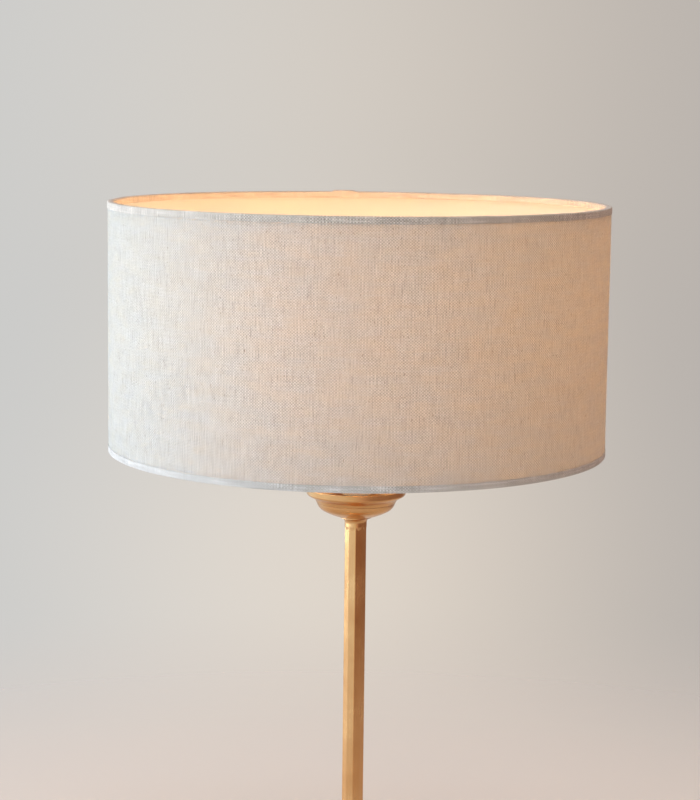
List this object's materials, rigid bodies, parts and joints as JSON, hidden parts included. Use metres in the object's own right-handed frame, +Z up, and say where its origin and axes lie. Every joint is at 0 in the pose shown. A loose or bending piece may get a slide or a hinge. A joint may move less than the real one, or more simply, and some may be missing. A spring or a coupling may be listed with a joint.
{
  "type": "table lamp",
  "caption": "Table lamp: lined linen drum shade on a lampholder over a flared brass cup, slim faceted brass stem and weighted round brass base.",
  "frame": {"origin": "middle of the felt pad's underside, on the surface that the lamp stands on", "axes": "+Z up along the stem; +Y to the back, where the flex enters the base; -Y is the side that the picture looks at"},
  "size_m": [0.3, 0.3002, 0.5],
  "materials": {
    "felt": "dark felt",
    "cast_weight": "as cast, painted dark grey",
    "brass": "satin, lacquered",
    "zinc": "zinc plated",
    "inlet_plastic": "moulded, matte",
    "holder_plastic": "moulded thermoset, satin",
    "screw_steel": "bright",
    "contact_brass": "plain",
    "linen": "plain-woven natural linen with slubs",
    "liner": "smooth, translucent",
    "ring_wire": "white powder coat",
    "ring_plastic": "moulded",
    "cap_metal": "nickel plated",
    "insulator": "glazed",
    "housing_plastic": "moulded",
    "board": "circuit board",
    "plate_aluminium": "white faced",
    "chip": "phosphor",
    "opal": "opal diffuser"
  },
  "bodies": {
    "stand": {"felt_pad": "felt", "base_weight": "cast_weight", "base_cover": "brass", "cable_inlet_bush": "inlet_plastic", "base_washer": "zinc", "base_nut": "zinc", "base_nipple": "zinc", "stem_foot": "brass", "stem": "brass", "neck_collar": "brass", "bowl": "brass", "saucer": "brass", "top_nipple": "zinc", "cup_washer": "zinc", "cup_nut": "zinc", "holder_base": "holder_plastic", "grip_screw": "screw_steel", "terminal_screws": "screw_steel", "holder_insert": "holder_plastic", "centre_contact": "contact_brass", "side_contact": "contact_brass", "thread_sleeve": "contact_brass", "holder_skirt": "holder_plastic"},
    "shade": {"shade_linen": "linen", "shade_liner": "liner", "top_wire": "ring_wire", "bottom_wire": "ring_wire", "spider_arms": "ring_wire", "fitter_ring": "ring_wire", "top_trim": "linen", "bottom_trim": "linen", "rear_seam": "linen"},
    "shade_ring": {"shade_ring": "ring_plastic"},
    "bulb": {"cap_contact": "cap_metal", "cap_insulator": "insulator", "screw_cap": "cap_metal", "bulb_housing": "housing_plastic", "led_plate": "plate_aluminium", "led_chips": "chip", "driver_board": "board", "bulb_globe": "opal"}
  },
  "joints": [
    {"name": "shade_lift", "type": "slide", "parent": "stand", "child": "shade", "axis": [0, 0, 1], "range_m": [0, 0.04]},
    {"name": "ring_lift", "type": "slide", "parent": "shade", "child": "shade_ring", "axis": [0, 0, 1], "range_m": [0, 0.15]},
    {"name": "bulb_lift", "type": "slide", "parent": "shade_ring", "child": "bulb", "axis": [0, 0, 1], "range_m": [0, 0.15]}
  ]
}
